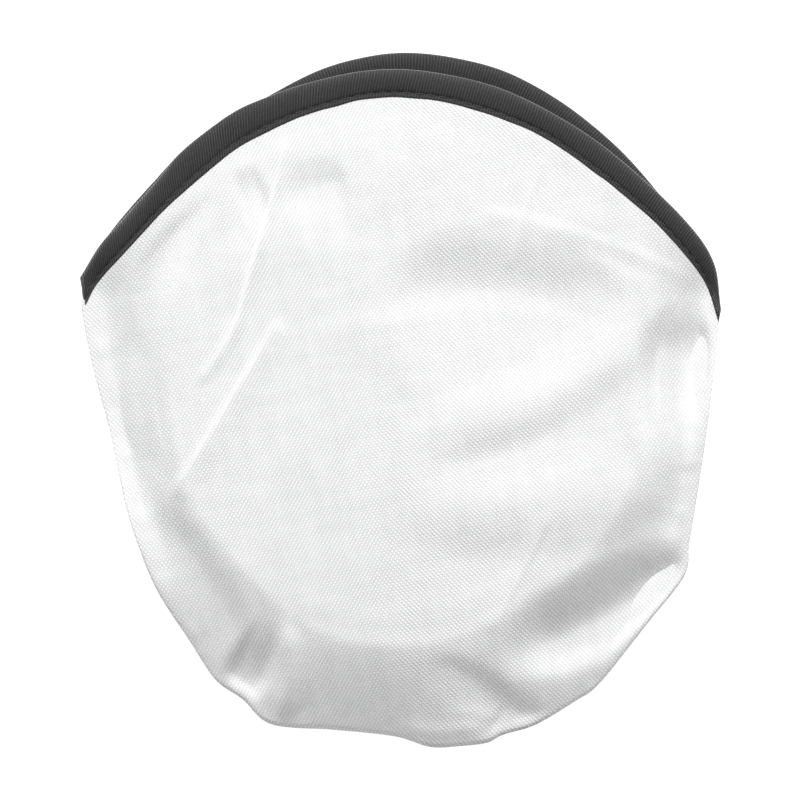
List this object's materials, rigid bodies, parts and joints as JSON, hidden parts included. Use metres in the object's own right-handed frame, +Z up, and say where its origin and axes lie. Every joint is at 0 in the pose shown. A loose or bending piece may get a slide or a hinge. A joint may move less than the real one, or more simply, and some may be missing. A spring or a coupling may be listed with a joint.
{
  "type": "flying ring",
  "caption": "Folding flying ring, coiled into three loops inside a soft cloth pouch with a bound, curved mouth.",
  "frame": {"origin": "middle of the pouch's bounding box, on the surface that its back lies on", "axes": "+X to the right, +Y out of the pouch's mouth, +Z up, out of its front"},
  "size_m": [0.1206, 0.1308, 0.0133],
  "materials": {
    "white_cloth": "plain woven polyester",
    "black_tape": "ribbed binding tape",
    "black_thread": "sewing thread",
    "spring_steel": "drawn wire",
    "ferrule_metal": "plated"
  },
  "bodies": {
    "pouch": {"pouch_back_panel": "white_cloth", "pouch_front_panel": "white_cloth", "side_seam_cord": "white_cloth", "back_mouth_binding": "black_tape", "back_binding_stitching": "black_thread"},
    "front_lip": {"front_lip_panel": "white_cloth", "front_mouth_binding": "black_tape", "front_binding_stitching": "black_thread"},
    "folded_disc": {"spring_wire_ring": "spring_steel", "crimp_ferrule": "ferrule_metal", "rim_tape": "black_tape", "rim_stitching": "black_thread", "disc_membrane": "white_cloth"}
  },
  "joints": [
    {"name": "front_lip_hinge", "type": "hinge", "parent": "pouch", "child": "front_lip", "pos_m": [0, 0.016, 0.01225], "axis": [1, 0, 0], "range_deg": [0, 100]},
    {"name": "disc_slide", "type": "slide", "parent": "pouch", "child": "folded_disc", "axis": [0, 1, 0], "range_m": [0, 0.125]}
  ]
}
